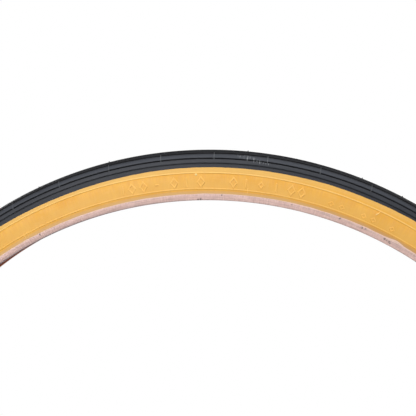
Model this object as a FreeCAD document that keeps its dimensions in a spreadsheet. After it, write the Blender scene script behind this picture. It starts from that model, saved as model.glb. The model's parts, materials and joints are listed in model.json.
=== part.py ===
import FreeCAD, Part

import os
import re

import Sketcher

# A 37-540 (24 x 1 3/8) wire-bead bicycle tire, as it comes from the mould and off its rim.
#
# Frame: millimetres, origin at the wheel's centre, +Y along the axle towards the rider's left, +Z up.
# Every piece is a ring or part of one, so each is a section swept about the axle. A section is
# drawn in the upper half of the YZ plane, where x is the distance from the tire's mid-plane and y is the
# radius from the axle.
#
# Lay-up from outside to inside: black tread and gum sidewalls, then two cord plies. Both plies run from
# bead to bead, pass under the bead wire and turn up again on its outer side. A woven chafer wraps each
# bead where it sits on the rim.

SIZES = {
    # whole tire
    "seat_radius": 270,
    "crown_radius": 305.6,
    "bead_half_width": 18,
    "wall_flare": 11.3,
    "knee_radius": 277.5,
    # tread
    "tread_edge_radius": 293.7,
    "tread_depth": 3.3,
    "groove_half_width": 0.6,
    "groove_bottom_half_width": 0.4,
    "groove_depth": 1.1,
    "edge_groove_depth": 0.7,
    "centre_groove_angle": 10.8,
    "crown_groove_angle": 32,
    "shoulder_groove_angle": 53,
    "edge_groove_angle": 69.2,
    # gum sidewalls
    "gum_thickness": 0.5,
    "upper_line_radius": 289.5,
    "lower_line_radius": 278.2,
    "line_half_width": 0.55,
    "line_top_half_width": 0.3,
    "line_height": 0.3,
    "line_root": 0.2,
    # cord plies
    "ply_thickness": 0.4,
    "inner_ply_end_radius": 284,
    "outer_ply_end_radius": 287,
    # beads
    "wire_radius": 1,
    "wire_gap": 1,
    "coat_thickness": 0.3,
    "sleeve_length": 14,
    "filler_blade": 0.2,
    # chafers
    "chafer_thickness": 0.5,
    "chafer_edge_radius": 275,
    "chafer_tip_radius": 276.9,
    "chafer_setback": 0.25,
    "chafer_shoulder_radius": 273.2,
    "chafer_inside_radius": 277,
    "heel_radius": 0.8,
    "toe_radius": 0.6,
}

FORMULAS = {
    # outer surface: a crown arc that runs on at a tangent into the flared wall
    "crown_arc": "(crown_radius - tread_edge_radius) / (1 - sin(wall_flare))",
    "crown_centre": "crown_radius - crown_arc",
    "edge_half_width": "crown_arc * cos(wall_flare)",
    # casing: the surface that the tread and the gum are laid on
    "wall_depth": "gum_thickness + 2 * ply_thickness + filler_blade",
    "casing_centre": "crown_centre - (tread_depth - wall_depth) / (1 - sin(wall_flare))",
    "casing_arc": "crown_radius - tread_depth - casing_centre",
    # bead core: the wire in its rubber coat, which the plies and the chafer wrap
    "core_radius": "wire_radius + coat_thickness",
    "wrap_thickness": "2 * ply_thickness + chafer_thickness",
    "wire_level": "seat_radius + wrap_thickness + core_radius",
    "wire_offset": "bead_half_width - wrap_thickness - core_radius",
    "toe_offset": "wire_offset - core_radius - wrap_thickness",
}

SIDES = ("left", "right")
GROOVES = {
    "centre_groove_angle": "groove_depth",
    "crown_groove_angle": "groove_depth",
    "shoulder_groove_angle": "groove_depth",
    "edge_groove_angle": "edge_groove_depth",
}
FULL_TURN = "360"
ORIGIN = (-1, 1)
START, END, CENTRE = 1, 2, 3


def expression(text):
    """The text as a FreeCAD expression: formulas spelled out and driving sizes read from the sheet."""

    def spelled(match):
        word = match.group(0)
        if word in FORMULAS:
            return "(" + expression(FORMULAS[word]) + ")"
        return "Sizes." + word if word in SIZES else word

    return re.sub(r"[a-z_]+", spelled, text)


def number(doc, text):
    """What a formula comes to with the sheet's present sizes."""
    value = doc.Sizes.evalExpression(expression(text))
    return float(getattr(value, "Value", value))


def wall(depth, radius):
    """Distance from the mid-plane, at a radius, of the surface that lies a depth inside the flared wall."""
    run = f"(tread_edge_radius - ({radius})) * tan(wall_flare)"
    return f"edge_half_width + {run} - ({depth}) / cos(wall_flare)"


def between(low, high, radius):
    """Distance from the mid-plane, at a radius, on the straight line between two corners."""
    rise = f"(({radius}) - ({low[1]})) / (({high[1]}) - ({low[1]}))"
    return f"({low[0]}) + (({high[0]}) - ({low[0]})) * {rise}"


def knee(depth):
    """Where the surface that lies a depth inside the flared wall bends towards the bead."""
    return wall(depth, "knee_radius"), "knee_radius"


def wrap_end(side, wrap, depth):
    """Where a circle of radius wrap round the wire runs on into the straight run up to the knee. Side "-" is
    the cavity's side of the wire, and side "+" the wall's side."""
    across, along = f"(wire_offset - ({knee(depth)[0]}))", "(knee_radius - wire_level)"
    lean = f"({side}atan({across} / {along}) + asin(({wrap}) / sqrt({across} ^ 2 + {along} ^ 2)))"
    return f"wire_offset {side} ({wrap}) * cos({lean})", f"wire_level + ({wrap}) * sin({lean})"


def crown_point(radius, angle):
    """A point of the crown at a distance from its centre and an angle from its top."""
    return f"({radius}) * sin({angle})", f"crown_centre + ({radius}) * cos({angle})"


def casing_end(depth):
    """Where the casing's crown arc, a depth under its surface, runs on into the wall."""
    arc = f"(casing_arc - ({depth}))"
    return f"{arc} * cos(wall_flare)", f"casing_centre + {arc} * sin(wall_flare)"


def mirrored(corner):
    """The same corner on the other side of the mid-plane."""
    return (f"-({corner[0]})", *corner[1:])


def new_sheet(doc):
    """The spreadsheet of driving sizes: names in column A, numbers with aliases in column B."""
    sheet = doc.addObject("Spreadsheet::Sheet", "Sizes")
    for row, (name, value) in enumerate(SIZES.items(), start=1):
        sheet.set(f"A{row}", name)
        sheet.set(f"B{row}", str(value))
        sheet.setAlias(f"B{row}", name)
    doc.recompute()


def new_body(doc, name, side="left"):
    """An empty body. A right-hand piece is the left-hand one turned over about the X axis."""
    body = doc.addObject("PartDesign::Body", name)
    body.Label = name
    turn = 180 if side == "right" else 0
    body.Placement = FreeCAD.Placement(FreeCAD.Vector(), FreeCAD.Rotation(FreeCAD.Vector(1, 0, 0), turn))
    return body


def new_sketch(body, name):
    """A sketch on the body's own YZ plane."""
    sketch = body.newObject("Sketcher::SketchObject", name)
    plane = next(part for part in body.Origin.OriginFeatures if part.Role == "YZ_Plane")
    sketch.AttachmentSupport = [(plane, "")]
    sketch.MapMode = "FlatFace"
    return sketch


def bind(sketch, kind, first, second, text):
    """A distance between two points of the sketch, bound to a formula."""
    value = number(sketch.Document, text)
    index = sketch.addConstraint(Sketcher.Constraint(kind, *first, *second, value))
    sketch.setExpression(f"Constraints[{index}]", expression(text))


def draw_outline(sketch, corners):
    """A closed outline. A corner (x, y) is reached by a straight edge, and a corner
    (x, y, centre_x, centre_y, turn) by an arc that turns "left" or "right" on its way there."""
    doc = sketch.Document
    places = [FreeCAD.Vector(number(doc, c[0]), number(doc, c[1]), 0) for c in corners]
    edges = []
    for index, corner in enumerate(corners):
        before, here = places[index - 1], places[index]
        if len(corner) == 2:
            edges.append((sketch.addGeometry(Part.LineSegment(before, here)), START, END))
            continue
        centre = FreeCAD.Vector(number(doc, corner[2]), number(doc, corner[3]), 0)
        first, last = (before, here) if corner[4] == "left" else (here, before)
        circle = Part.Circle(centre, FreeCAD.Vector(0, 0, 1), (here - centre).Length)
        arc = Part.ArcOfCircle(circle, circle.parameter(first), circle.parameter(last))
        ends = (START, END) if corner[4] == "left" else (END, START)
        edges.append((sketch.addGeometry(arc), *ends))
    for index, corner in enumerate(corners):
        edge, _, end = edges[index]
        following, start, _ = edges[(index + 1) % len(edges)]
        sketch.addConstraint(Sketcher.Constraint("Coincident", edge, end, following, start))
        bind(sketch, "DistanceX", ORIGIN, (edge, end), corner[0])
        bind(sketch, "DistanceY", ORIGIN, (edge, end), corner[1])
        if len(corner) > 2:
            bind(sketch, "DistanceY", ORIGIN, (edge, CENTRE), corner[3])


def draw_circle(sketch, x, y, radius):
    """A circle whose centre and radius are bound to formulas."""
    doc = sketch.Document
    centre = FreeCAD.Vector(number(doc, x), number(doc, y), 0)
    circle = sketch.addGeometry(Part.Circle(centre, FreeCAD.Vector(0, 0, 1), number(doc, radius)))
    bind(sketch, "DistanceX", ORIGIN, (circle, CENTRE), x)
    bind(sketch, "DistanceY", ORIGIN, (circle, CENTRE), y)
    index = sketch.addConstraint(Sketcher.Constraint("Radius", circle, number(doc, radius)))
    sketch.setExpression(f"Constraints[{index}]", expression(radius))


def turn_section(body, sketch, name, angle=FULL_TURN, kind="PartDesign::Revolution"):
    """Sweeps a section about the axle, half of the angle to each side of the sketch."""
    feature = body.newObject(kind, name)
    feature.Profile = sketch
    feature.ReferenceAxis = (sketch, ["H_Axis"])
    feature.setExpression("Angle", expression(angle))
    feature.Midplane = True
    body.Tip = feature
    return feature


def ring(doc, name, side, corners):
    """A body that is one closed outline swept the whole way round."""
    body = new_body(doc, name, side)
    sketch = new_sketch(body, f"{name}_section")
    draw_outline(sketch, corners)
    turn_section(body, sketch, f"{name}_ring")
    return body


def tread_section():
    """The black rubber: thick at the crown and feathered out under the gum at both edges."""
    edge = ("edge_half_width", "tread_edge_radius")
    feather = casing_end("0")
    return [
        mirrored(edge),
        (*edge, "0", "crown_centre", "right"),
        feather,
        (*mirrored(feather), "0", "casing_centre", "left"),
    ]


def groove_section(angle, depth, side):
    """One circumferential groove: a slot that narrows towards its bottom."""
    outer, inner = "(crown_arc + groove_depth)", f"(crown_arc - {depth})"
    mouth = "groove_half_width * 180 / pi / crown_arc"
    bottom = f"groove_bottom_half_width * 180 / pi / {inner}"
    return [
        crown_point(outer, f"{side}({angle} - {mouth})"),
        crown_point(outer, f"{side}({angle} + {mouth})"),
        crown_point(inner, f"{side}({angle} + {bottom})"),
        crown_point(inner, f"{side}({angle} - {bottom})"),
    ]


def make_tread(doc):
    """The tread, cut into ribs by four grooves on each side of the crown."""
    body = ring(doc, "tread", "left", tread_section())
    grooves = new_sketch(body, "tread_grooves")
    for angle, depth in GROOVES.items():
        draw_outline(grooves, groove_section(angle, depth, ""))
        draw_outline(grooves, groove_section(angle, depth, "-"))
    turn_section(body, grooves, "tread_groove_cut", kind="PartDesign::Groove")
    return body


def chafer_tip():
    """The chafer's upper edge, under the gum and against the turned-up plies."""
    bead = wrap_end("+", "core_radius + 2 * ply_thickness", "gum_thickness")
    return between(bead, knee("gum_thickness"), "chafer_tip_radius"), "chafer_tip_radius"


def sidewall_section():
    """The gum: its inner face steps over the turned-up ends of the two plies."""
    over_inner, over_outer = "gum_thickness", "gum_thickness + ply_thickness"
    return [
        ("edge_half_width", "tread_edge_radius"),
        knee("0"),
        ("bead_half_width - chafer_setback", "chafer_edge_radius"),
        chafer_tip(),
        knee(over_inner),
        (wall(over_inner, "inner_ply_end_radius"), "inner_ply_end_radius"),
        (wall(over_outer, "inner_ply_end_radius"), "inner_ply_end_radius"),
        (wall(over_outer, "outer_ply_end_radius"), "outer_ply_end_radius"),
        (wall("wall_depth", "outer_ply_end_radius"), "outer_ply_end_radius"),
        casing_end("0"),
    ]


def line_section(radius):
    """A raised line round the wall, rooted a little way inside the gum."""
    return [
        (wall("line_root", f"{radius} + line_half_width"), f"{radius} + line_half_width"),
        (wall("-line_height", f"{radius} + line_top_half_width"), f"{radius} + line_top_half_width"),
        (wall("-line_height", f"{radius} - line_top_half_width"), f"{radius} - line_top_half_width"),
        (wall("line_root", f"{radius} - line_half_width"), f"{radius} - line_half_width"),
    ]


def make_sidewall(doc, side):
    """One gum sidewall with its two raised lines."""
    body = ring(doc, f"{side}_sidewall", side, sidewall_section())
    lines = new_sketch(body, f"{side}_raised_lines")
    draw_outline(lines, line_section("upper_line_radius"))
    draw_outline(lines, line_section("lower_line_radius"))
    turn_section(body, lines, f"{side}_raised_line_rings")
    return body


def ply_section(order, end_radius):
    """A cord ply from bead to bead. Order 0 is the ply next to the wires, and order 1 the one inside it."""
    depth = f"(wall_depth + {order} * ply_thickness)"
    wrap = f"(core_radius + {order} * ply_thickness)"
    turned = f"(gum_thickness + {1 - order} * ply_thickness)"
    wire = ("wire_offset", "wire_level")
    half = [
        casing_end(f"{order} * ply_thickness"),
        knee(depth),
        wrap_end("-", wrap, depth),
        (*wrap_end("+", wrap, f"{turned} + ply_thickness"), *wire, "left"),
        knee(f"{turned} + ply_thickness"),
        (wall(f"{turned} + ply_thickness", end_radius), end_radius),
        (wall(turned, end_radius), end_radius),
        knee(turned),
        wrap_end("+", f"{wrap} + ply_thickness", turned),
        (*wrap_end("-", f"{wrap} + ply_thickness", f"{depth} + ply_thickness"), *wire, "right"),
        knee(f"{depth} + ply_thickness"),
        casing_end(f"({order} + 1) * ply_thickness"),
    ]
    crown = ("0", "casing_centre")
    other = [mirrored(corner[:2]) for corner in reversed(half)]
    other[0] = (*other[0], *crown, "left")
    other[3] = (*other[3], *mirrored(wire), "right")
    other[9] = (*other[9], *mirrored(wire), "left")
    half[0] = (*half[0], *crown, "right")
    return half + other


def filler_section():
    """Rubber that fills the wedge over the bead core and thins to a blade between ply and turn-up."""
    turned, main = "gum_thickness + 2 * ply_thickness", "wall_depth"
    return [
        wrap_end("-", "core_radius", main),
        (*wrap_end("+", "core_radius", turned), "wire_offset", "wire_level", "right"),
        knee(turned),
        (wall(turned, "outer_ply_end_radius"), "outer_ply_end_radius"),
        (wall(main, "outer_ply_end_radius"), "outer_ply_end_radius"),
        knee(main),
    ]


def chafer_section():
    """The rim strip: scarfed under the gum outside, flat on the rim seat, and up the inside of the bead."""
    wrap, depth = "(core_radius + 2 * ply_thickness)", "wall_depth + 2 * ply_thickness"
    ply_start = wrap_end("-", wrap, depth)
    inside = between(ply_start, knee(depth), "chafer_inside_radius")
    heel = ("bead_half_width - heel_radius", "seat_radius + heel_radius")
    toe = ("toe_offset + toe_radius", "seat_radius + toe_radius")
    return [
        chafer_tip(),
        ("bead_half_width - chafer_setback", "chafer_edge_radius"),
        ("bead_half_width", "chafer_shoulder_radius"),
        ("bead_half_width", heel[1]),
        (heel[0], "seat_radius", *heel, "right"),
        (toe[0], "seat_radius"),
        ("toe_offset", toe[1], *toe, "right"),
        ("toe_offset", "wire_level"),
        wrap_end("-", f"{wrap} + chafer_thickness", f"{depth} + chafer_thickness"),
        (f"{inside} - chafer_thickness", "chafer_inside_radius"),
        (inside, "chafer_inside_radius"),
        ply_start,
        (*wrap_end("+", wrap, "gum_thickness"), "wire_offset", "wire_level", "left"),
    ]


def make_hoop(doc, name, side, radii, level, angle):
    """Part of a round-section hoop on the bead wire's line: solid for one radius, a tube for two."""
    body = new_body(doc, name, side)
    sketch = new_sketch(body, f"{name}_section")
    for radius in radii:
        draw_circle(sketch, "wire_offset", level, radius)
    turn_section(body, sketch, f"{name}_hoop", angle)
    return body


def make_bead_core(doc, side):
    """The bead wire, its rubber coat, and the crimped sleeve that joins the wire's two ends."""
    gap = "wire_gap / wire_level * 180 / pi"
    sleeve = "sleeve_length / wire_level * 180 / pi"
    tube = ("core_radius", "wire_radius")
    return [
        make_hoop(doc, f"{side}_bead_wire", side, ("wire_radius",), "wire_level", f"360 - {gap}"),
        make_hoop(doc, f"{side}_bead_coat", side, tube, "wire_level", f"360 - {sleeve}"),
        make_hoop(doc, f"{side}_wire_sleeve", side, tube, "-wire_level", sleeve),
    ]


def check_and_export(doc, bodies):
    """Stops on any failed object or bad shape, then writes one STEP file for each piece."""
    failed = [part.Name for part in doc.Objects if {"Invalid", "Error"} & set(part.State)]
    if failed:
        raise RuntimeError(f"failed objects: {failed}")
    for body in bodies:
        shape = body.Shape
        if shape.isNull() or not shape.isValid() or len(shape.Solids) != 1:
            raise RuntimeError(f"{body.Label} isn't one valid solid")
    os.makedirs("parts", exist_ok=True)
    for body in bodies:
        body.Shape.exportStep(f"parts/{body.Label}.step")
        print(f"{body.Label}: {body.Shape.Volume / 1000:.2f} cm3")


def main():
    doc = FreeCAD.newDocument("bicycle_tire")
    new_sheet(doc)
    bodies = [make_tread(doc)]
    for side in SIDES:
        bodies.append(make_sidewall(doc, side))
        bodies.extend(make_bead_core(doc, side))
        bodies.append(ring(doc, f"{side}_bead_filler", side, filler_section()))
        bodies.append(ring(doc, f"{side}_chafer", side, chafer_section()))
    bodies.append(ring(doc, "outer_ply", "left", ply_section(0, "outer_ply_end_radius")))
    bodies.append(ring(doc, "inner_ply", "left", ply_section(1, "inner_ply_end_radius")))
    doc.recompute()
    check_and_export(doc, bodies)


main()
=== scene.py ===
import json
import math

import bpy
import numpy as np
from mathutils import Euler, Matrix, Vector


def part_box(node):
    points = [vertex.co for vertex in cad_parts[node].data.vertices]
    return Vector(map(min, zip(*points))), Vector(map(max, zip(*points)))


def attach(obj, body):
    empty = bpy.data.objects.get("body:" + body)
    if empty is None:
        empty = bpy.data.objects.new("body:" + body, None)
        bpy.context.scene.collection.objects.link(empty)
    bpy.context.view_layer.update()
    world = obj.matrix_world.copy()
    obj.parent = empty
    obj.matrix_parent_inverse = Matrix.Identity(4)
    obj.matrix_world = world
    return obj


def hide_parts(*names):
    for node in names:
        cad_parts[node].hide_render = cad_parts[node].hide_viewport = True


# Looks of a gum-wall bicycle tire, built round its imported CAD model. Section sizes are in millimetres, as in
# the CAD, and become metres when a mesh is made. A point of the section is (half width, radius). An angle
# round the wheel starts at the top and grows towards +X. Side +1 is the rider's left (+Y) and side -1 the
# rider's right.

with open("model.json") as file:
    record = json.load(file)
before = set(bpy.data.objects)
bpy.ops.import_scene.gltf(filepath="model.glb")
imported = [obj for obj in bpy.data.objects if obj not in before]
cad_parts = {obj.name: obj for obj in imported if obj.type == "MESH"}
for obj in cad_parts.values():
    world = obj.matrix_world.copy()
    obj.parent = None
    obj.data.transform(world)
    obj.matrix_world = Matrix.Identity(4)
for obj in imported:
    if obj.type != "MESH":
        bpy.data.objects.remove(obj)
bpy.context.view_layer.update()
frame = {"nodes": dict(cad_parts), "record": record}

MM = 0.001
TURN = 2 * math.pi
DEGREE = math.pi / 180
SIDES = {"left": 1, "right": -1}
rng = np.random.default_rng(24)

# Driving sizes, from the frame where a node's box gives them.
CROWN_RADIUS = -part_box("tread")[0].z / MM
EDGE_HALF_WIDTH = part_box("tread")[1].y / MM
BEAD_HALF_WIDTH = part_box("left_chafer")[1].y / MM
CHAFER_INSIDE_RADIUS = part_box("left_chafer")[1].z / MM
SEAT_RADIUS = frame["record"]["mounts"][0]["dims"]["r_mm"]
FLARE = 11.3 * DEGREE
KNEE_RADIUS = 277.5
TREAD_DEPTH = 3.3
GUM = 0.5
PLY = 0.4
BLADE = 0.2
CHAFER = 0.5
CORE_RADIUS = 1.3
CHAFER_EDGE_RADIUS = 275.0
CHAFER_TIP_RADIUS = 276.9
CHAFER_SHOULDER_RADIUS = 273.2
CHAFER_SETBACK = 0.25
HEEL = 0.8
TOE = 0.6
INNER_TURN_UP = 284
OUTER_TURN_UP = 287

# What follows from them.
CROWN_ARC = EDGE_HALF_WIDTH / math.cos(FLARE)
CROWN_CENTRE = CROWN_RADIUS - CROWN_ARC
EDGE_RADIUS = CROWN_CENTRE + CROWN_ARC * math.sin(FLARE)
EDGE_ANGLE = math.pi / 2 - FLARE
WALL_DEPTH = GUM + 2 * PLY + BLADE
CASING_CENTRE = CROWN_CENTRE - (TREAD_DEPTH - WALL_DEPTH) / (1 - math.sin(FLARE))
CASING_ARC = CROWN_RADIUS - TREAD_DEPTH - CASING_CENTRE
WRAP = 2 * PLY + CHAFER
WIRE = (BEAD_HALF_WIDTH - WRAP - CORE_RADIUS, SEAT_RADIUS + WRAP + CORE_RADIUS)
CHAFER_EDGE = (BEAD_HALF_WIDTH - CHAFER_SETBACK, CHAFER_EDGE_RADIUS)

# Tread detail. A groove is an angle from the crown's top, in degrees, with its depth. The ribs' painted light
# and shade, 0 dark and 1 light, is given at such angles too: painted shade on the crown's top and beside the
# crown groove, and lighter paint where the shoulder ribs face the lamps.
GROOVES = {10.8: 1.1, 32: 1.1, 53: 1.1, 69.2: 0.7}
GROOVE_HALF_WIDTH = 0.6
GROOVE_BOTTOM = 0.4
GROOVE_EDGE = 0.14
GROOVE_FILLET = 0.12
FIN_COUNT = 49
FIN_START = 0.6 * DEGREE
FIN_HEIGHT = 0.12
FIN_HALF_WIDTH = 0.32
FIN_TOP = 0.16
FIN_SPAN = (32, 53)
RIB_PAINTED_LIGHT = {34: 0.05, 41: 1.0, 50: 1.05, 55: 0.6, 62: 0.7, 67: 0.75, 72: 0.55, 78: 0.8}
SCUFFED_SPAN = (38, 62)
CASING_POINTS = 13

# Wall detail. Plain raised shapes stand between the two lines, at angles in degrees from the top.
UPPER_LINE = 289.5
LOWER_LINE = 278.2
LINE_HALF_WIDTH = 0.55
LINE_HEIGHT = 0.26
RELIEF_RADIUS = (UPPER_LINE + LOWER_LINE) / 2 - 0.8
RELIEF_HALF_HEIGHT = 3.3
# A stroke's pale is the strength of a painted highlight over the whole stroke.
STROKE = {"half_width": 0.75, "height": 0.32, "bevel": 0.38, "pale": 0.5}
DIAMOND_STROKE = {"half_width": 0.68, "height": 0.32, "bevel": 0.36, "pale": 0.5}
FAINT_STROKE = {"half_width": 0.6, "height": 0.18, "bevel": 0.36, "pale": 0.15}
DIAMONDS = (-11.3, -9.6, -5.1, -1.2, 3.5, 11.9, 13.4)
SMALL_DIAMOND = 7.5
FAINT_DIAMONDS = (17.9, 19.5, 22.9, 24.4, 27.4)
BARS = (-12.6, -3.3, 5.3, 9.7)
DASH = -7.6
RIDGE_ROOT = 0.15

# How finely the rings are cut, and the pitch of the cloth's threads and the plies' cords.
WALL_ROWS = 1080
PLY_ROWS = 900
CREASE = 34 * DEGREE
THREAD_PITCH = 0.62
CORD_PITCH = 1.3


# --- the section -----------------------------------------------------------------------------------------


def wall(depth, radius):
    """Half width, at a radius, of the surface that lies a depth inside the flared wall."""
    return EDGE_HALF_WIDTH + (EDGE_RADIUS - radius) * math.tan(FLARE) - depth / math.cos(FLARE)


def knee(depth):
    """Where that surface bends towards the bead."""
    return wall(depth, KNEE_RADIUS), KNEE_RADIUS


def casing_end(depth):
    """Where the casing's crown arc, a depth under its surface, runs on into the wall."""
    reach = CASING_ARC - depth
    return reach * math.cos(FLARE), CASING_CENTRE + reach * math.sin(FLARE)


def leaving(side, wrap, depth):
    """Where a circle round the wire runs on into the straight run up to the knee: side -1 is the cavity's
    side of the wire, and side +1 the wall's side."""
    across, along = WIRE[0] - knee(depth)[0], KNEE_RADIUS - WIRE[1]
    lean = side * math.atan2(across, along) + math.asin(wrap / math.hypot(across, along))
    return WIRE[0] + side * wrap * math.cos(lean), WIRE[1] + wrap * math.sin(lean)


def between(low, high, radius):
    """The point at a radius on the straight line between two corners."""
    share = (radius - low[1]) / (high[1] - low[1])
    return low[0] + (high[0] - low[0]) * share, radius


def straight(first, last, steps):
    """Points on the straight line from first up to, but not including, last."""
    shares = np.linspace(0, 1, steps, endpoint=False)[:, None]
    return list(np.array(first) + shares * (np.array(last) - np.array(first)))


def arc(centre, first, last, steps, clockwise=False):
    """Points on the arc round centre from first up to, but not including, last."""
    radius = math.dist(centre, first)
    start = math.atan2(first[1] - centre[1], first[0] - centre[0])
    end = math.atan2(last[1] - centre[1], last[0] - centre[0])
    sweep = -((start - end) % TURN) if clockwise else (end - start) % TURN
    angles = start + sweep * np.linspace(0, 1, steps, endpoint=False)
    return [(centre[0] + radius * math.cos(a), centre[1] + radius * math.sin(a)) for a in angles]


def flipped(points):
    """The points on the other side of the mid-plane, in the order that carries the outline on."""
    return [(-x, y) for x, y in reversed(points)]


# --- meshes ----------------------------------------------------------------------------------------------


SINES_IN_WANDER = 12
SPREAD_OF_SINES = 3.5


def wander(angles, size, waves, seed):
    """A gentle wobble round the wheel that meets itself again: a few sines of random height and phase."""
    own = np.random.default_rng(seed)
    total = np.zeros_like(angles)
    for count in own.integers(waves[0], waves[1], SINES_IN_WANDER):
        total += own.normal() * np.sin(count * angles + own.uniform(0, TURN))
    return size * total / SPREAD_OF_SINES


def even_rows(count):
    """Angles of evenly spaced rows round the wheel."""
    return np.arange(count) * TURN / count


def in_space(half_width, radius, angle):
    """Section points in millimetres, at angles round the wheel, as places in metres."""
    points = (radius * np.sin(angle), half_width + 0 * radius * angle, radius * np.cos(angle))
    return np.stack(points, axis=-1) * MM


class Shape:
    """Corners, faces, section coordinates and marks of one piece, gathered before they become a mesh."""

    def __init__(self, *marks):
        self.points, self.faces, self.places = [], [], []
        self.marks = {name: [] for name in marks}
        self.count = 0

    def add(self, points, faces, places, **marks):
        """One closed solid. Its faces are turned outwards, whichever way round they come."""
        corners = points[np.array([face[:3] for face in faces])]
        others = points[np.array([(face[0], face[2], face[-1]) for face in faces])]
        volume = sum(np.sum(np.cross(part[:, 0], part[:, 1]) * part[:, 2]) for part in (corners, others))
        if volume < 0:
            faces = [face[::-1] for face in faces]
            places = [place[::-1] for place in places]
        self.points.append(points)
        self.faces += [[corner + self.count for corner in face] for face in faces]
        self.places += places
        for name, values in self.marks.items():
            values.append(np.broadcast_to(marks.get(name, 0.0), len(points)))
        self.count += len(points)

    def add_ring(self, section, lift, angles, side, **marks):
        """A closed section swept right round the wheel. lift, in millimetres, moves each point of each row
        by (half width, radius). marks are one number for each point of each row."""
        rows, columns = len(angles), len(section)
        section = np.asarray(section)
        half_width = section[None, :, 0] + lift[..., 0]
        radius = section[None, :, 1] + lift[..., 1]
        points = in_space(side * half_width, radius, angles[:, None]).reshape(-1, 3)
        row, column = (index.ravel() for index in np.indices((rows, columns)))
        corners = ((0, 0), (1, 0), (1, 1), (0, 1))
        faces = [((row + a) % rows) * columns + (column + b) % columns for a, b in corners]
        along = np.append(angles, angles[0] + TURN) * CROWN_RADIUS
        steps = np.linalg.norm(np.diff(np.vstack([section, section[:1]]), axis=0), axis=1)
        across = np.append(0, np.cumsum(steps))
        places = [np.stack([along[row + a], across[column + b]], axis=1) for a, b in corners]
        flat = {name: np.broadcast_to(values, (rows, columns)).ravel() for name, values in marks.items()}
        self.add(points, np.stack(faces, axis=1).tolist(), np.stack(places, axis=1).tolist(), **flat)

    def add_tube(self, centres, radii, sides, **marks):
        """A round rod through centres (metres), with a radius (millimetres) at each, closed at both ends."""
        centres = np.asarray(centres)
        runs = np.gradient(centres, axis=0)
        runs /= np.linalg.norm(runs, axis=1)[:, None]
        guide = np.array((0.31, 0.17, 0.93))  # a direction that no rod follows
        first = np.cross(runs, guide)
        first /= np.linalg.norm(first, axis=1)[:, None]
        second = np.cross(runs, first)
        turn = even_rows(sides)
        rim = first[:, None] * np.cos(turn)[:, None] + second[:, None] * np.sin(turn)[:, None]
        points = (centres[:, None] + rim * np.asarray(radii)[:, None, None] * MM).reshape(-1, 3)
        faces = []
        for step in range(len(centres) - 1):
            for corner in range(sides):
                beside = (corner + 1) % sides
                low, high = step * sides, (step + 1) * sides
                faces.append([low + corner, low + beside, high + beside, high + corner])
        top = (len(centres) - 1) * sides
        faces += fans(range(sides - 1, -1, -1))
        faces += fans(range(top, top + sides))
        self.add(points, faces, blank_places(faces), **marks)

    def add_ridge(self, path, closed, side, half_width, height, bevel, **marks):
        """A low raised stroke on the wall that follows a path of (angle, radius) points."""
        path = np.asarray(path, dtype=float)
        flat = np.stack([path[:, 0] * path[:, 1], path[:, 1]], axis=1)
        if closed:
            before, after = flat - np.roll(flat, 1, axis=0), np.roll(flat, -1, axis=0) - flat
        else:
            steps = np.diff(flat, axis=0)
            before, after = np.vstack([steps[:1], steps]), np.vstack([steps, steps[-1:]])
        before /= np.linalg.norm(before, axis=1)[:, None]
        after /= np.linalg.norm(after, axis=1)[:, None]
        normal = quarter_turned(before + after)
        normal /= np.linalg.norm(normal, axis=1)[:, None]
        mitre = 1 / np.maximum(np.sum(normal * quarter_turned(before), axis=1), 0.4)
        top = half_width - bevel
        outline = ((-half_width, -RIDGE_ROOT), (-top, height), (top, height), (half_width, -RIDGE_ROOT))
        lines = []
        for offset, level in outline:
            spot = flat + normal * (mitre * offset)[:, None]
            if not closed and level > 0:
                spot[0] += after[0] * bevel
                spot[-1] -= before[-1] * bevel
            radius = spot[:, 1]
            lines.append(in_space(side * wall(-level, radius), radius, spot[:, 0] / path[:, 1]))
        points = np.stack(lines, axis=1).reshape(-1, 3)
        count, faces = len(path), []
        for step in range(count if closed else count - 1):
            low, high = step * 4, ((step + 1) % count) * 4
            for corner in range(4):
                beside = (corner + 1) % 4
                faces.append([low + corner, low + beside, high + beside, high + corner])
        if not closed:
            last = (count - 1) * 4
            faces += [[3, 2, 1, 0], [last, last + 1, last + 2, last + 3]]
        self.add(points, faces, blank_places(faces), **marks)

    def build(self, name, replaces, material):
        """The finished piece, riding on the tire's one body."""
        mesh = bpy.data.meshes.new(name)
        mesh.from_pydata(np.concatenate(self.points).tolist(), [], self.faces)
        layer = mesh.uv_layers.new(name="Section")
        layer.data.foreach_set("uv", np.concatenate([np.ravel(place) for place in self.places]))
        for mark, values in self.marks.items():
            attribute = mesh.attributes.new(mark, "FLOAT", "POINT")
            attribute.data.foreach_set("value", np.concatenate(values).astype(np.float32))
        mesh.shade_smooth()
        mesh.set_sharp_from_angle(angle=CREASE)
        mesh.materials.append(material)
        piece = bpy.data.objects.new(name, mesh)
        bpy.context.scene.collection.objects.link(piece)
        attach(piece, "root")
        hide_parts(*replaces)
        return piece


def quarter_turned(runs):
    """Flat directions turned a quarter turn."""
    return np.stack([-runs[:, 1], runs[:, 0]], axis=1)


def fans(corners):
    """A convex cap as triangles."""
    corners = list(corners)
    return [[corners[0], corners[step], corners[step + 1]] for step in range(1, len(corners) - 1)]


def blank_places(faces):
    """Section coordinates for faces that carry no weave."""
    return [[[0.0, 0.0]] * len(face) for face in faces]


# --- materials -------------------------------------------------------------------------------------------


def linear(red, green, blue):
    """A colour given as it looks on screen, 0 to 255, in the linear form that shaders take."""
    values = [channel / 255 for channel in (red, green, blue)]
    return [v / 12.92 if v <= 0.04045 else ((v + 0.055) / 1.055) ** 2.4 for v in values] + [1.0]


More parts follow.
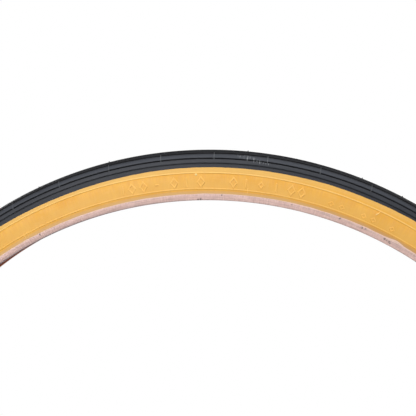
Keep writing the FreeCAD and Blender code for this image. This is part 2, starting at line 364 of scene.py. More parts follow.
class Look:
    """A procedural material, with one method for each step that the recipes below share."""

    def __init__(self, name):
        self.material = bpy.data.materials.new(name)
        self.material.use_nodes = True
        self.tree = self.material.node_tree
        self.shader = self.tree.nodes["Principled BSDF"]
        self.place = self.add("TexCoord")["Object"]
        self.section = self.add("UVMap", uv_map="Section")[0]

    def add(self, kind, inputs=None, **settings):
        node = self.tree.nodes.new("ShaderNode" + kind)
        for name, value in settings.items():
            setattr(node, name, value)
        self.fill(node, inputs or {})
        return node.outputs

    def fill(self, node, inputs):
        for key, value in inputs.items():
            if isinstance(value, bpy.types.NodeSocket):
                self.tree.links.new(value, node.inputs[key])
            else:
                node.inputs[key].default_value = value

    def calc(self, operation, first, second=0.0):
        return self.add("Math", {0: first, 1: second}, operation=operation)[0]

    def step(self, value, low, high):
        """0 below low, 1 above high and smooth in between. low may be the larger."""
        inputs = {"Value": value, "From Min": low, "From Max": high}
        return self.add("MapRange", inputs, interpolation_type="SMOOTHSTEP")[0]

    def wave(self, distance, pitch):
        """A sine wave over a distance in millimetres."""
        return self.calc("SINE", self.calc("MULTIPLY", distance, TURN / pitch))

    def mark(self, name):
        return self.add("Attribute", attribute_name=name)["Fac"]

    def mix(self, share, first, second):
        return self.add("Mix", {0: share, 6: first, 7: second}, data_type="RGBA")[2]

    def tint(self, colour, amount, shade, share=1.0):
        """The colour mixed towards a shade by an amount, of which only a share counts."""
        return self.mix(self.calc("MULTIPLY", amount, share), colour, linear(*shade))

    def noise(self, size, detail=2.0):
        """Noise with features about size millimetres long, about 0.5 on average."""
        inputs = {"Vector": self.place, "Scale": 1 / (size * MM), "Detail": detail}
        return self.add("TexNoise", inputs)[0]

    def streaks(self, along, across, detail=2.0):
        """Noise with this many features in a millimetre along the wheel and across the section."""
        place = self.add("VectorMath", {0: self.section, 1: (along, across, 1.0)}, operation="MULTIPLY")[0]
        return self.add("TexNoise", {"Vector": place, "Scale": 1.0, "Detail": detail})[0]

    def bump(self, height, distance):
        """A bump of a height from 0 to 1 times a distance in millimetres."""
        return self.add("Bump", {"Height": height, "Distance": distance * MM})[0]

    def finish(self, **inputs):
        names = {name.replace("_", " ").title(): value for name, value in inputs.items()}
        if "Specular" in names:
            names["Specular IOR Level"] = names.pop("Specular")
        self.fill(self.shader, names)
        return self.material


def section_parts(look):
    """The distances along the wheel and across the section, in millimetres."""
    parts = look.add("SeparateXYZ", {0: look.section})
    return parts[0], parts[1]


def wheel_angle(look):
    """The angle round the wheel from its top, in degrees, growing towards +X."""
    parts = look.add("SeparateXYZ", {0: look.place})
    angle = look.calc("ARCTAN2", parts[0], parts[2])
    return look.calc("DIVIDE", angle, DEGREE)


def tread_look():
    look = Look("tread_rubber")
    mottling = look.calc("MULTIPLY", look.calc("SUBTRACT", look.noise(14, 3), 0.5), 0.4)
    grain = look.noise(0.5, 4)
    # The ribs' painted light and shade, plus random mottling, sets the tread's tone.
    tone = look.calc("ADD", look.mark("rib_tone"), mottling)
    colour = look.mix(tone, linear(29, 29, 32), linear(62, 65, 72))
    # Painted shade in the grooves, stronger where they are deeper.
    colour = look.tint(colour, look.mark("groove"), (13, 13, 15))
    # Painted highlight on the fins' tops.
    colour = look.tint(colour, look.mark("pale"), (118, 120, 122), 0.5)
    colour = look.tint(colour, look.step(grain, 0.55, 0.85), (96, 97, 100), 0.3)
    colour = look.tint(colour, scuff_amount(look), (126, 128, 131))
    return look.finish(base_color=colour, roughness=0.62, specular=0.32, normal=look.bump(grain, 0.05))


def scuff_amount(look):
    """Short scuffs across the ribs, on one slanting stretch of the right side, from handling."""
    across = section_parts(look)[1]
    middle = look.calc("SUBTRACT", 9.6, look.calc("MULTIPLY", across, 0.4))
    off_middle = look.calc("ABSOLUTE", look.calc("SUBTRACT", wheel_angle(look), middle))
    stretch = look.calc("MULTIPLY", look.step(off_middle, 1.5, 0.7), look.mark("scuff"))
    return look.calc("MULTIPLY", stretch, look.step(look.streaks(1.1, 0.16), 0.5, 0.66))


def gum_look():
    """Tan rubber: soft mottling, flow streaks along and across, then the bands of the mould, painted shade
    beside its raised lines and painted highlights on raised things.
    """
    look = Look("gum_rubber")
    colour = look.mix(look.step(look.noise(16, 3), 0.35, 0.65), linear(238, 174, 70), linear(245, 187, 87))
    colour = look.tint(colour, look.step(look.noise(5, 2), 0.45, 0.7), (240, 186, 100), 0.5)
    colour = look.tint(colour, look.step(look.streaks(0.06, 0.9), 0.5, 0.72), (247, 190, 100), 0.5)
    colour = look.tint(colour, look.step(look.streaks(0.55, 0.09, 3.0), 0.4, 0.66), (235, 172, 90), 0.5)
    colour = look.tint(colour, look.step(look.streaks(1.0, 0.13), 0.5, 0.75), (248, 192, 106), 0.4)
    colour = look.tint(colour, look.mark("upper"), (236, 188, 104))
    colour = look.tint(colour, look.mark("fall"), (231, 178, 90))
    colour = look.tint(colour, look.mark("lower"), (228, 182, 122))
    colour = look.tint(colour, look.mark("ruddy"), (208, 154, 98))
    # Painted shade beside the raised lines, then painted highlights on the lines, strokes, ridges, stubs and
    # whisker, brightest where pale passes 1.
    colour = look.tint(colour, look.mark("shade"), (247, 177, 50), 0.9)
    colour = look.tint(colour, look.mark("pale"), (252, 208, 122), 0.7)
    colour = look.tint(colour, look.step(look.mark("pale"), 1.0, 2.0), (255, 232, 160))
    normal = look.bump(look.noise(0.7, 3), 0.03)
    return look.finish(base_color=colour, roughness=0.5, specular=0.3, normal=normal)


def chafer_look():
    """Woven cloth: a fine weave with uneven threads, greyer low down, painted brown shade inside, and specks.
    """
    look = Look("chafer_cloth")
    warp, weft = (look.wave(part, THREAD_PITCH) for part in section_parts(look))
    weave = look.calc("MULTIPLY", warp, weft)
    threads = look.streaks(1.0, 0.2)
    dots = look.noise(0.5, 1)
    colour = look.mix(look.step(look.noise(6, 3), 0.35, 0.7), linear(235, 199, 189), linear(242, 208, 199))
    colour = look.tint(colour, look.mark("low"), (204, 174, 166))
    colour = look.tint(colour, look.step(look.streaks(0.06, 1.6, 3.0), 0.46, 0.66), (196, 168, 161), 0.7)
    colour = look.tint(colour, look.step(weave, 0.0, 1.0), (150, 130, 128), 0.2)
    colour = look.tint(colour, look.step(threads, 0.5, 0.7), (196, 163, 156), 0.4)
    colour = look.tint(colour, look.step(threads, 0.48, 0.3), (246, 214, 204), 0.4)
    # Painted highlight along the cloth's top edge.
    colour = look.tint(colour, look.mark("edge"), (241, 210, 191))
    # Painted brown shade on the cloth's faces towards the cavity.
    colour = look.tint(colour, look.mark("inside"), (205, 124, 94))
    colour = look.tint(colour, look.step(look.noise(0.9, 2), 0.66, 0.74), (120, 105, 104), 0.5)
    colour = look.tint(colour, look.mark("dark"), (158, 145, 150))
    specks = look.calc("MULTIPLY", look.mark("speck"), look.step(dots, 0.5, 0.62))
    specks = look.calc("MAXIMUM", specks, seen_specks(look, dots))
    colour = look.tint(colour, specks, (70, 64, 62), 0.75)
    return look.finish(base_color=colour, roughness=0.8, specular=0.2, normal=look.bump(weave, 0.05))


# Specks of dirt at the top of the right bead, and a flake on its heel, as (degrees, radius, size).
SPECKS = (
    (-26.7, 273.5, 0.8),
    (-1.7, 270.6, 0.8),
    (-1.3, 270.8, 1.0),
    (1.9, 273.9, 0.6),
    (12.4, 273.4, 0.5),
    (19.8, 273.6, 0.8),
    (23.4, 273.3, 0.7),
    (23.9, 273.5, 0.6),
    (27.1, 273.0, 1.0),
    (27.5, 272.8, 0.6),
    (27.9, 272.6, 0.8),
    (28.1, 272.0, 0.7),
)


def seen_specks(look, ragged):
    """1 inside the specks at the top and 0 elsewhere, with edges made ragged by a noise."""
    flat = look.add("VectorMath", {0: look.place, 1: (1, 0, 1)}, operation="MULTIPLY")[0]
    shift = look.calc("MULTIPLY", look.calc("SUBTRACT", ragged, 0.5), 2.5 * MM)
    total = 0.0
    for degrees, radius, size in SPECKS:
        middle = tuple(in_space(0.0, np.array(radius), np.array(degrees * DEGREE)))
        away = look.add("VectorMath", {0: flat, 1: middle}, operation="DISTANCE")["Value"]
        ragged_away = look.calc("ADD", away, shift)
        total = look.calc("MAXIMUM", total, look.step(ragged_away, size * MM, 0.4 * size * MM))
    right = look.calc("LESS_THAN", look.add("SeparateXYZ", {0: look.place})[1], 0.0)
    return look.calc("MULTIPLY", total, right)


def cord_look(name, slant):
    """Rubberised cord fabric: fine cords laid on the bias, a whole number of them round the wheel."""
    look = Look(name)
    along, across = section_parts(look)
    count = round(TURN * CROWN_RADIUS / CORD_PITCH)
    on_bias = look.calc("ADD", along, look.calc("MULTIPLY", across, slant))
    cords = look.wave(on_bias, TURN * CROWN_RADIUS / count)
    colour = look.mix(look.step(look.noise(9, 3), 0.3, 0.7), linear(118, 74, 54), linear(138, 92, 70))
    colour = look.tint(colour, look.step(cords, 0.2, -1.0), (92, 56, 42), 0.45)
    return look.finish(base_color=colour, roughness=0.75, specular=0.25, normal=look.bump(cords, 0.06))


def plain_rubber_look(name, dark, light):
    """Rubber that is never moulded smooth: soft mottling and a fine grain."""
    look = Look(name)
    colour = look.mix(look.noise(6, 3), linear(*dark), linear(*light))
    normal = look.bump(look.noise(0.6, 3), 0.05)
    return look.finish(base_color=colour, roughness=0.7, specular=0.3, normal=normal)


def steel_look(name, dark, light):
    """Drawn steel: fine streaks of tone and gloss."""
    look = Look(name)
    streaks = look.noise(1.5, 4)
    colour = look.mix(streaks, linear(*dark), linear(*light))
    roughness = look.calc("ADD", 0.25, look.calc("MULTIPLY", streaks, 0.25))
    return look.finish(base_color=colour, metallic=1.0, roughness=roughness)


# --- pieces ----------------------------------------------------------------------------------------------


def degrees_of(angles):
    """Angles round the wheel as degrees from -180 to 180."""
    return np.degrees((angles + math.pi) % TURN - math.pi)


def smooth(values, low, high):
    """0 below low, 1 above high and smooth in between."""
    share = np.clip((values - low) / (high - low), 0, 1)
    return share * share * (3 - 2 * share)


def hump(values, middle, reach):
    """1 at the middle of a smooth hump, and about a third at its reach."""
    return np.exp(-(((values - middle) / reach) ** 2))


def band(values, middle, reach):
    """1 at the middle of a band, falling evenly to 0 at its reach."""
    return np.clip(1 - np.abs(values - middle) / reach, 0, 1)


def boundary_stray(angles, side):
    """How far down the wall the gum's edge strays, in millimetres. On the right side's top it dips on the
    left and rises again on the right. Elsewhere it wanders as much."""
    degrees = degrees_of(angles)
    dip = 0.3 + 0.95 * hump(degrees, -21, 13)
    rise = 0.3 * smooth(degrees, 11, 17) + 0.5 * smooth(degrees, 21, 30)
    near_top = 1 - smooth(np.abs(degrees), 32, 46) if side < 0 else np.zeros_like(degrees)
    other = wander(angles, 0.35, (3, 12), seed=5 + side)
    return near_top * (dip - rise) + (1 - near_top) * other + wander(angles, 0.05, (30, 160), seed=9)


def cloth_edge_stray(angles):
    """How far up the wall the cloth's upper edge strays, in millimetres."""
    degrees = degrees_of(angles)
    bump = 1.2 * hump(degrees, 28.9, 1.1)
    return bump - 0.3 + wander(angles, 0.1, (15, 140), seed=11)


def line_drift(angles):
    """How far down the wall the raised lines drift, in millimetres, as they go round."""
    return 0.5 * np.sin(3 * angles)


def tread_profile():
    """The tread's outer surface as (angle from the crown's top, depth) points, from edge to edge."""
    half = []
    last = 0.0
    reach = (GROOVE_HALF_WIDTH + GROOVE_EDGE) / CROWN_ARC / DEGREE
    for groove, depth in GROOVES.items():
        steps = 3 if last else 2
        half += [(angle, 0.0) for angle in np.linspace(last, groove - reach, steps + 1)][1:-1]
        half += groove_points(groove, depth)
        last = groove + reach
    edge = EDGE_ANGLE / DEGREE
    half += [(angle, 0.0) for angle in np.linspace(last, edge, 4)[1:]]
    other = [(-angle, depth) for angle, depth in reversed(half)]
    return np.array(other + [(0.0, 0.0)] + half) * (DEGREE, 1)


def groove_points(middle, depth):
    """One groove with rounded lips and corners, as (degrees, depth) points."""
    lip, wide, narrow, fillet = GROOVE_EDGE, GROOVE_HALF_WIDTH, GROOVE_BOTTOM, GROOVE_FILLET
    half = [(wide + lip, 0.0), (wide + 0.3 * lip, 0.3 * lip), (wide, lip)]
    half += [(narrow, depth - fillet), (narrow - fillet, depth)]
    across = [(-offset, level) for offset, level in half] + half[::-1]
    return [(middle + offset / CROWN_ARC / DEGREE, level) for offset, level in across]


def tread_rows():
    """The rows' angles, the fin that each belongs to and its place in the order there. Each cross fin of
    either side has four rows, and even ones follow it."""
    half_pitch = TURN / FIN_COUNT / 2
    fin = np.array((-FIN_HALF_WIDTH, -FIN_TOP, FIN_TOP, FIN_HALF_WIDTH)) / CROWN_RADIUS
    one = np.concatenate([fin, np.linspace(fin[-1], half_pitch + fin[0], 6)[1:-1]])
    fins = np.arange(2 * FIN_COUNT)
    rows = (FIN_START + half_pitch * fins[:, None] + one).ravel()
    return rows, np.repeat(fins, len(one)), np.tile(np.arange(len(one)), len(fins))


def on_fin(theta, fins, order):
    """True for each point of each row that lies on a cross fin. Even fins are on the right shoulder and odd
    ones on the left, and only a fin's two middle rows are on its top."""
    reach = (GROOVE_HALF_WIDTH + GROOVE_EDGE) / CROWN_ARC
    low, high = (angle * DEGREE for angle in FIN_SPAN)
    shoulder = (np.abs(theta) > low - reach) & (np.abs(theta) < high + reach)
    on_top = (order == 1) | (order == 2)
    own_side = np.sign(theta)[None, :] == np.where(fins % 2, 1, -1)[:, None]
    return on_top[:, None] & shoulder[None, :] & own_side


def fin_tones():
    """How strong each fin's painted highlight is: strongest at the top of the wheel, with a random part."""
    from_top = degrees_of(FIN_START + np.arange(2 * FIN_COUNT) * TURN / FIN_COUNT / 2)
    return np.clip(0.9 * hump(from_top, 0, 11) + rng.uniform(0.25, 0.7, 2 * FIN_COUNT), 0, 1.1)


def add_edge_stray(lift, rows, theta, outer):
    """Moves the tread's two edges along their own surface, and the two points beside each edge less so."""
    for side in (-1, 1):
        stray = boundary_stray(rows, side)
        for step, share in enumerate((1, 0.67, 0.33)):
            index = step if side < 0 else outer - 1 - step
            down = np.array((math.cos(theta[index]), -math.sin(theta[index]))) * side
            lift[:, index] += share * stray[:, None] * down


def make_tread(look):
    """Black tread: ribs, grooves with rounded lips, cross fins over the shoulder ribs and vent stubs."""
    profile = tread_profile()
    theta, depth = np.pad(profile, ((0, CASING_POINTS), (0, 0))).T
    outside = np.arange(len(theta)) < len(profile)
    under = np.linspace(EDGE_ANGLE, -EDGE_ANGLE, CASING_POINTS)
    normal = np.stack([np.sin(theta), np.cos(theta)], axis=1)
    section = (0, CROWN_CENTRE) + (CROWN_ARC - depth)[:, None] * normal
    casing = np.stack([np.sin(under), np.cos(under)], axis=1)
    section[-CASING_POINTS:] = (0, CASING_CENTRE) + CASING_ARC * casing
    rows, fins, order = tread_rows()
    here = on_fin(theta, fins, order)
    lift = np.where(here, depth + FIN_HEIGHT, 0.0)[..., None] * normal
    add_edge_stray(lift, rows, theta, len(profile))
    degrees = np.abs(theta) / DEGREE
    # faint halves the painted groove shade in the shallow edge groove.
    faint = np.where(degrees > 66, 0.5, 1.0)
    low, high = (angle * DEGREE for angle in SCUFFED_SPAN)
    marks = {
        "groove": np.where(here, 0.0, faint * (depth / max(GROOVES.values())) ** 0.5),
        # pale: a painted highlight on the fins' tops.
        "pale": np.where(here, fin_tones()[fins][:, None], 0.0),
        "rib_tone": outside * np.interp(degrees, list(RIB_PAINTED_LIGHT), list(RIB_PAINTED_LIGHT.values())),
        "scuff": ((-theta > low) & (-theta < high)).astype(float),
    }
    shape = Shape(*marks)
    shape.add_ring(section, lift, rows, 1, **marks)
    add_crown_stubs(shape)
    return shape.build("tread_rubber", ["tread"], look)


def crown_place(theta, height, angle):
    """A place in space at a height over the crown's surface."""
    reach = CROWN_ARC + height
    return in_space(reach * math.sin(theta), CROWN_CENTRE + reach * math.cos(theta), np.array(angle))


def add_crown_stubs(shape):
    """Stubs of vent rubber along the crown, trimmed to odd lengths."""
    at_top = [-14.2, 5.2, 21.3, 27.3]
    elsewhere = np.arange(36, 345, 11.5) + rng.uniform(-3, 3, 27)
    for degrees in at_top + list(elsewhere):
        theta = rng.uniform(-2.5, 2.5) * DEGREE
        height = rng.uniform(0.45, 0.7)
        levels = (-0.4, 0.0, height - 0.12, height)
        centres = [crown_place(theta, level, degrees * DEGREE) for level in levels]
        shape.add_tube(centres, (0.42, 0.38, 0.34, 0.2), 10)


def raised_line(radius):
    """Points over a raised line of the wall, from its upper foot to its lower one."""
    shares = np.linspace(1, -1, 9)
    heights = LINE_HEIGHT * np.cos(shares * math.pi / 2) ** 0.7
    radii = radius + shares * LINE_HALF_WIDTH
    return [(wall(-height, level), level) for height, level in zip(heights, radii)]


def gum_section():
    """The gum sidewall as one closed outline, starting at the tread."""
    start = (EDGE_HALF_WIDTH, EDGE_RADIUS)
    upper, lower = raised_line(UPPER_LINE), raised_line(LOWER_LINE)
    bead = leaving(1, CORE_RADIUS + 2 * PLY, GUM)
    outer = straight(start, upper[0], 6) + upper + straight(upper[-1], lower[0], 14)[1:] + lower
    outer += straight(lower[-1], knee(0), 2)[1:] + straight(knee(0), CHAFER_EDGE, 6)
    inner = [CHAFER_EDGE, between(bead, knee(GUM), CHAFER_TIP_RADIUS), knee(GUM)]
    for radius in (INNER_TURN_UP, OUTER_TURN_UP):
        depth = GUM if radius == INNER_TURN_UP else GUM + PLY
        after = GUM + PLY if radius == INNER_TURN_UP else WALL_DEPTH
        inner += [(wall(depth, radius), radius), (wall(after, radius), radius)]
    inner.append(casing_end(0))
    return np.array(outer + inner), len(outer)


def gum_lift(radius, visible, angles, side):
    """How far each point of each row moves. The top follows the tread's straying edge, the lines drift, and
    the bottom follows the cloth's edge."""
    lines = [line + rise for line in (LOWER_LINE, UPPER_LINE) for rise in (-0.5, 0.5)]
    stops = [CHAFER_EDGE_RADIUS] + lines + [EDGE_RADIUS]
    with_line = np.interp(radius, stops, (0, 0.75, 0.75, 1, 1, 0)) * visible
    with_edge = np.interp(radius, stops[-2:], (0, 1)) * visible
    with_cloth = np.interp(radius, (CHAFER_EDGE_RADIUS, KNEE_RADIUS), (1, 0)) * visible
    down = with_line * line_drift(angles)[:, None] + with_edge * boundary_stray(angles, side)[:, None]
    lift = down[..., None] * np.array((math.sin(FLARE), -math.cos(FLARE)))
    lift[..., 1] += with_cloth * cloth_edge_stray(angles)[:, None]
    return lift


def gum_marks(radius, visible, angles):
    """How much of each tint the gum takes at each point: its upper and lower bands, the slow fall in tone
    between the lines, a painted highlight on the lines' tops and a saturated painted shade beside them. The
    stretch just after the top is a little richer, and ruddy low down."""
    degrees = degrees_of(angles)[:, None]
    before_side = 1 - smooth(degrees, 60, 90)
    rich = smooth(degrees, 6, 22) * before_side
    shade = band(radius, UPPER_LINE - 0.85, 0.5) + 0.55 * band(radius, LOWER_LINE - 0.85, 0.5)
    marks = {
        "upper": 0.75 * (radius > UPPER_LINE - 0.3) * (1 - 0.45 * rich),
        "lower": np.clip((LOWER_LINE - 0.6 - radius) / 2.2, 0, 1),
        # pale: painted highlight on the lines' tops; shade: painted shade beside them.
        "pale": band(radius, UPPER_LINE + 0.1, 0.4) + 0.3 * band(radius, LOWER_LINE + 0.1, 0.4),
        "shade": shade + 0.65 * band(radius, UPPER_LINE + 1.3, 0.7) * rich,
        "fall": (radius > LOWER_LINE - 0.3) * np.clip((UPPER_LINE - 2.5 - radius) / 8, 0, 0.6),
        "ruddy": 0.55 * (radius < KNEE_RADIUS + 0.1) * smooth(degrees, 5, 30) * before_side,
    }
    return {mark: values * visible for mark, values in marks.items()}


def make_sidewall(name, look):
    """Gum sidewall with its raised lines, vent ridges, plain relief, vent stubs and whisker."""
    side = SIDES[name]
    section, outer = gum_section()
    radius = section[:, 1]
    visible = np.arange(len(section)) <= outer
    angles = even_rows(WALL_ROWS)
    marks = gum_marks(radius, visible, angles)
    shape = Shape(*marks)
    shape.add_ring(section, gum_lift(radius, visible, angles, side), angles, side, **marks)
    add_vent_ridges(shape, side)
    add_relief(shape, side)
    add_wall_stubs(shape, side)
    add_whisker(shape, side)
    return shape.build(f"{name}_gum_wall", [f"{name}_sidewall"], look)


def add_vent_ridges(shape, side):
    """Fine radial ridges that the mould's vents leave across the lower band."""
    low, high = CHAFER_EDGE_RADIUS + 0.9, LOWER_LINE + 1.6
    for degrees in [5.6, -28.9, -28.4] + list(np.arange(40, 325, 13.7)):
        angle = degrees * DEGREE
        path = [(angle, high), (angle, (high + KNEE_RADIUS) / 2), (angle, KNEE_RADIUS + 0.05)]
        # The ridges and their rods take a strong painted highlight (pale).
        shape.add_ridge(path, False, side, half_width=0.24, height=0.22, bevel=0.08, pale=1.1)
        ends = (knee(0), between(CHAFER_EDGE, knee(0), low))
        places = [in_space(side * np.array(x), np.array(r), np.array(angle)) for x, r in ends]
        shape.add_tube(places, (0.2, 0.16), 8, pale=1.1)


def add_relief(shape, side):
    """Plain raised shapes in three runs, at the top of the wall and again at the bottom."""
    middle, high = RELIEF_RADIUS, RELIEF_HALF_HEIGHT
    for turned in (0, 180):
        for degrees in DIAMONDS:
            add_diamond(shape, side, degrees + turned, middle, 2.4, high, DIAMOND_STROKE)
        add_diamond(shape, side, SMALL_DIAMOND + turned, middle, 1.7, 2.0, DIAMOND_STROKE)
        for degrees in FAINT_DIAMONDS:
            add_diamond(shape, side, degrees + turned, middle - 1.8, 1.7, 1.5, FAINT_STROKE)
        for degrees in BARS:
            bar = [((degrees + turned) * DEGREE, middle + rise) for rise in (-high, 0, high)]
            shape.add_ridge(bar, False, side, **STROKE)
        dash = [((DASH + turned) * DEGREE + run / middle, middle) for run in (-1.6, 0, 1.6)]
        shape.add_ridge(dash, False, side, **STROKE)


def add_diamond(shape, side, degrees, radius, wide, high, stroke):
    """An open diamond of raised strokes, from its middle's place and its half width and half height."""
    angle, turn = degrees * DEGREE, wide / radius
    path = [(angle - turn, radius), (angle, radius + high), (angle + turn, radius), (angle, radius - high)]
    shape.add_ridge(path, True, side, **stroke)


def wall_place(height, radius, angle, side):
    """A place in space at a height over the wall's surface."""
    return in_space(side * np.array(wall(-height, radius)), np.array(radius), np.array(angle))


def add_wall_stubs(shape, side):
    """Trimmed vent stubs under the upper line."""
    radius = UPPER_LINE - 1.15
    for degrees in [-1.9] + list(np.arange(45, 320, 23.0)):
        centres = [wall_place(level, radius, degrees * DEGREE, side) for level in (-0.3, 0, 0.32, 0.45)]
        # pale 2 paints the brightest highlight over the stubs.
        shape.add_tube(centres, (0.85, 0.82, 0.76, 0.55), 10, pale=2.0)


def add_whisker(shape, side):
    """One thin whisker of rubber that was never trimmed, curling down from the upper line."""
    sides = 7
    shares = np.linspace(0, 1, 7)
    path = [(0.3 - 0.1 * s, UPPER_LINE - 0.2 - 3.7 * s, 24.8 + 0.1 * s - 0.45 * s * s) for s in shares]
    centres = [wall_place(height, radius, degrees * DEGREE, side) for height, radius, degrees in path]
    # A painted highlight over the whisker, brightening towards its lower end.
    shape.add_tube(centres, 0.22 + 0.12 * shares, sides, pale=np.repeat(0.8 + shares, sides))


def chafer_section():
    """The cloth strip: scarfed under the gum outside, flat on the rim seat and up inside the bead."""
    wrap, depth = CORE_RADIUS + 2 * PLY, WALL_DEPTH + 2 * PLY
    start = leaving(-1, wrap, depth)
    inside = between(start, knee(depth), CHAFER_INSIDE_RADIUS)
    bead = leaving(1, wrap, GUM)
    tip = between(bead, knee(GUM), CHAFER_TIP_RADIUS)
    shoulder = (BEAD_HALF_WIDTH, CHAFER_SHOULDER_RADIUS)
    heel = (BEAD_HALF_WIDTH - HEEL, SEAT_RADIUS + HEEL)
    toe_offset = WIRE[0] - CORE_RADIUS - WRAP
    toe = (toe_offset + TOE, SEAT_RADIUS + TOE)
    up = leaving(-1, wrap + CHAFER, depth + CHAFER)
    points = [tip, CHAFER_EDGE]
    points += straight(CHAFER_EDGE, shoulder, 4)[1:]
    points += straight(shoulder, (BEAD_HALF_WIDTH, heel[1]), 3)
    points += arc(heel, (BEAD_HALF_WIDTH, heel[1]), (heel[0], SEAT_RADIUS), 8, clockwise=True)
    points += straight((heel[0], SEAT_RADIUS), (toe[0], SEAT_RADIUS), 5)
    points += arc(toe, (toe[0], SEAT_RADIUS), (toe_offset, toe[1]), 5, clockwise=True)
    points += straight((toe_offset, toe[1]), (toe_offset, WIRE[1]), 3)
    points += arc(WIRE, (toe_offset, WIRE[1]), up, 3, clockwise=True)
    points += straight(up, (inside[0] - CHAFER, inside[1]), 5)
    points += [(inside[0] - CHAFER, inside[1]), inside, start]
    points += arc(WIRE, start, bead, 12)[1:]
    points.append(bead)
    return np.array(points)


def speck_marks(angles, radius):
    """Where dirt has gathered on the cloth all round, as one number for each point of each row."""
    spots = rng.uniform((35, 271.5, 0.3, 0.4), (325, 274.0, 0.6, 0.7), (40, 4))
    total = np.zeros((len(angles), len(radius)))
    for degrees, level, length, height in spots:
        along = hump(degrees_of(angles - degrees * DEGREE), 0, length)
        total += along[:, None] * hump(radius, level, height)
    return np.clip(total, 0, 1)


def chafer_marks(half_width, radius, angles):
    """How much of each tint the cloth takes at each point. Its low part and heel are greyest on the stretch
    before the top, and a faint streak runs along the shoulder after it."""
    outside = half_width > BEAD_HALF_WIDTH - 1.9
    # A painted highlight along the top 0.8 mm of the outer face.
    edge = 0.9 * (outside & (radius > CHAFER_EDGE_RADIUS - 0.8))
    edge[0] = 0.0
    before_top = np.clip(-2.6 * np.sin(angles) - 0.05, 0, 1)[:, None]
    after_top = smooth(degrees_of(angles), 12, 20)[:, None]
    low = np.clip((CHAFER_SHOULDER_RADIUS - 0.2 - radius) / 2.2, 0, 1)
    streak = 0.5 * hump(radius, CHAFER_SHOULDER_RADIUS, 0.6)
    return {
        "edge": edge,
        "low": (low * before_top + streak * after_top) * outside,
        "dark": np.clip((SEAT_RADIUS + 0.9 - radius) / 0.7, 0, 1) * before_top * outside,
        # inside: painted brown shade on the faces towards the cavity.
        "inside": (half_width < WIRE[0] - 1.5).astype(float),
        "speck": speck_marks(angles, radius) * outside,
    }


def make_chafer(name, look):
    """The woven strip round one bead, with an upper edge that isn't cut quite straight."""
    section = chafer_section()
    angles = even_rows(WALL_ROWS)
    lift = np.zeros((len(angles), len(section), 2))
    lift[:, 1, 1] = cloth_edge_stray(angles)
    marks = chafer_marks(*section.T, angles)
    shape = Shape(*marks)
    shape.add_ring(section, lift, angles, SIDES[name], **marks)
    return shape.build(f"{name}_bead_cloth", [f"{name}_chafer"], look)


def ply_half():
    """The inner ply from the crown's end, down under the wire and up again, and back on its other face."""
    wrap, depth = CORE_RADIUS + PLY, WALL_DEPTH + PLY
    down, up = leaving(-1, wrap, depth), leaving(1, wrap, GUM + PLY)
    points = straight(casing_end(PLY), knee(depth), 4)
    points += straight(knee(depth), down, 3)
    points += arc(WIRE, down, up, 12)
    points += [up, knee(GUM + PLY)]
    points += [(wall(GUM + PLY, INNER_TURN_UP), INNER_TURN_UP), (wall(GUM, INNER_TURN_UP), INNER_TURN_UP)]
    points += [knee(GUM)]
    under = leaving(-1, wrap + PLY, depth + PLY)
    points += arc(WIRE, leaving(1, wrap + PLY, GUM), under, 12, clockwise=True)
    points += straight(under, knee(depth + PLY), 4)
    points += straight(knee(depth + PLY), casing_end(2 * PLY), 10)
    return [tuple(point) for point in points]


def make_inner_ply(look):
    """The cord ply that faces the tube, from bead to bead."""
    half = ply_half()
    crown = (0, CASING_CENTRE)
    inner_end, outer_end = casing_end(2 * PLY), casing_end(PLY)
    section = half + arc(crown, inner_end, (-inner_end[0], inner_end[1]), 22)
    section += flipped(half) + arc(crown, (-outer_end[0], outer_end[1]), outer_end, 12, clockwise=True)
    shape = Shape()
    shape.add_ring(section, np.zeros((PLY_ROWS, len(section), 2)), even_rows(PLY_ROWS), 1)
    return shape.build("inner_cord_ply", ["inner_ply"], look)


def dress_carried_nodes(cord):
    """Materials for the CAD nodes that stay as they are, all of them inside the tire."""
    coat = plain_rubber_look("coat_rubber", (34, 34, 34), (58, 56, 54))
    filler = plain_rubber_look("filler_rubber", (46, 43, 40), (70, 66, 62))
    wire = steel_look("bead_wire", (150, 118, 74), (206, 176, 124))
    sleeve = steel_look("sleeve_steel", (132, 132, 136), (196, 196, 200))
    looks = {"outer_ply": cord}
    for name in SIDES:
        looks[f"{name}_bead_coat"] = coat
        looks[f"{name}_bead_filler"] = filler
        looks[f"{name}_bead_wire"] = wire
        looks[f"{name}_wire_sleeve"] = sleeve
    for node, material in looks.items():
        materials = frame["nodes"][node].data.materials
        materials.clear()
        materials.append(material)


# --- stage -----------------------------------------------------------------------------------------------

# Sizes here are in metres, and the camera's turns in degrees. The floor glows at full strength where the
# camera sees it and at FLOOR_BOUNCE elsewhere. The room's strength is ROOM_LIGHT as light and ROOM_SHINE in
# reflections, and ROOM_TONES has its colour at two heights, from 0 at the horizon to 1 overhead.
PAPER_WHITE = linear(255, 255, 255)
FADE_END = 0.8
FLOOR_REACH = 8.0
FLOOR_BOUNCE = 0.35
ROOM_LIGHT = 0.31
ROOM_SHINE = 0.05
ROOM_TONES = {0.15: (1.0, 1.0, 1.0, 1.0), 0.85: (0.35, 0.35, 0.36, 1.0)}
CAMERA_PLACE = (0.0199, -0.4806, 0.3164)
CAMERA_TILT = 6.4
CAMERA_TURN = 2.57
CAMERA_LENS = 56.5


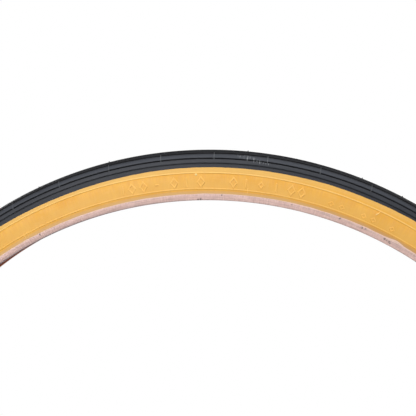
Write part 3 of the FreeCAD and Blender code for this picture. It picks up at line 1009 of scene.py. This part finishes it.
def make_floor():
    """A pale floor under the tire that fades into the white of the backdrop."""
    mesh = bpy.data.meshes.new("studio_floor")
    around = ((-1, -1), (1, -1), (1, 1), (-1, 1))
    corners = [(x * FLOOR_REACH, y * FLOOR_REACH, -CROWN_RADIUS * MM) for x, y in around]
    mesh.from_pydata(corners, [], [(0, 1, 2, 3)])
    floor = bpy.data.objects.new("studio_floor", mesh)
    bpy.context.scene.collection.objects.link(floor)
    look = Look("pale_floor")
    parts = look.add("SeparateXYZ", {0: look.place})
    flat = look.add("CombineXYZ", {0: parts[0], 1: parts[1]})[0]
    distance = look.add("VectorMath", {0: flat}, operation="LENGTH")["Value"]
    mottle = look.mix(look.noise(30, 3), linear(244, 244, 244), linear(248, 248, 248))
    look.finish(base_color=mottle, roughness=0.9, specular=0.1)
    in_view = look.add("LightPath")["Is Camera Ray"]
    strength = look.add("MapRange", {"Value": in_view, "To Min": FLOOR_BOUNCE, "To Max": 1.0})[0]
    glow = look.add("Emission", {"Color": PAPER_WHITE, "Strength": strength})[0]
    fade = {"Value": distance, "From Max": FADE_END, "To Min": 0.5}
    share = look.add("MapRange", fade, interpolation_type="SMOOTHSTEP")[0]
    mixed = look.add("MixShader", {0: share, 1: look.shader.outputs[0], 2: glow})[0]
    look.tree.links.new(mixed, look.tree.nodes["Material Output"].inputs["Surface"])
    mesh.materials.append(look.material)


def make_world():
    """White where the camera sees it, and a soft studio for everything else: bright low down, dim above."""
    world = bpy.data.worlds.new("studio")
    bpy.context.scene.world = world
    world.use_nodes = True
    tree = world.node_tree
    output = tree.nodes["World Output"]
    paper = tree.nodes["Background"]
    paper.inputs["Color"].default_value = PAPER_WHITE
    room = tree.nodes.new("ShaderNodeBackground")
    sight = tree.nodes.new("ShaderNodeLightPath")
    strength = tree.nodes.new("ShaderNodeMapRange")
    strength.inputs["To Min"].default_value = ROOM_LIGHT
    strength.inputs["To Max"].default_value = ROOM_SHINE
    tree.links.new(sight.outputs["Is Glossy Ray"], strength.inputs["Value"])
    tree.links.new(strength.outputs["Result"], room.inputs["Strength"])
    direction = tree.nodes.new("ShaderNodeTexCoord")
    parts = tree.nodes.new("ShaderNodeSeparateXYZ")
    ramp = tree.nodes.new("ShaderNodeValToRGB")
    tree.links.new(direction.outputs["Generated"], parts.inputs[0])
    tree.links.new(parts.outputs["Z"], ramp.inputs["Fac"])
    for element, (height, tone) in zip(ramp.color_ramp.elements, ROOM_TONES.items()):
        element.position = height
        element.color = tone
    tree.links.new(ramp.outputs["Color"], room.inputs["Color"])
    mixed = tree.nodes.new("ShaderNodeMixShader")
    tree.links.new(sight.outputs["Is Camera Ray"], mixed.inputs["Fac"])
    tree.links.new(room.outputs[0], mixed.inputs[1])
    tree.links.new(paper.outputs[0], mixed.inputs[2])
    tree.links.new(mixed.outputs[0], output.inputs["Surface"])


def make_light(name, place, target, size, power):
    """A square soft light aimed at a target."""
    light = bpy.data.lights.new(name, "AREA")
    light.size = size
    light.energy = power
    lamp = bpy.data.objects.new(name, light)
    lamp.location = place
    lamp.rotation_euler = (Vector(target) - Vector(place)).to_track_quat("-Z", "Y").to_euler()
    bpy.context.scene.collection.objects.link(lamp)


def make_lights():
    """A key lamp high in front on the left, a soft one overhead, and low ones for the far side."""
    top = (0, 0, 0.8 * CROWN_RADIUS * MM)
    make_light("key", (-1.0, -2.0, 2.1), top, 1.1, 65.5)
    make_light("overhead", (0.7, -0.5, 2.4), top, 1.4, 22)
    make_light("back_left", (-1.9, 2.0, 0.3), (0, 0, 0), 1.4, 30)
    make_light("back_right", (2.0, 1.9, 0.3), (0, 0, 0), 1.4, 30)


def make_camera():
    """Level with the tire's top and half a metre from its right side, so that only the arch is in view."""
    data = bpy.data.cameras.new("camera")
    data.lens = CAMERA_LENS
    data.sensor_width = 36
    data.clip_start = 0.01
    camera = bpy.data.objects.new("camera", data)
    camera.location = CAMERA_PLACE
    camera.rotation_euler = Euler(((90 - CAMERA_TILT) * DEGREE, 0, CAMERA_TURN * DEGREE))
    bpy.context.scene.collection.objects.link(camera)
    bpy.context.scene.camera = camera


def main():
    gum, cloth = gum_look(), chafer_look()
    make_tread(tread_look())
    for name in SIDES:
        make_sidewall(name, gum)
        make_chafer(name, cloth)
    make_inner_ply(cord_look("inner_cord", 1.0))
    dress_carried_nodes(cord_look("outer_cord", -1.0))
    make_floor()
    make_world()
    make_lights()
    make_camera()
    bpy.context.scene.view_settings.view_transform = "Standard"


main()
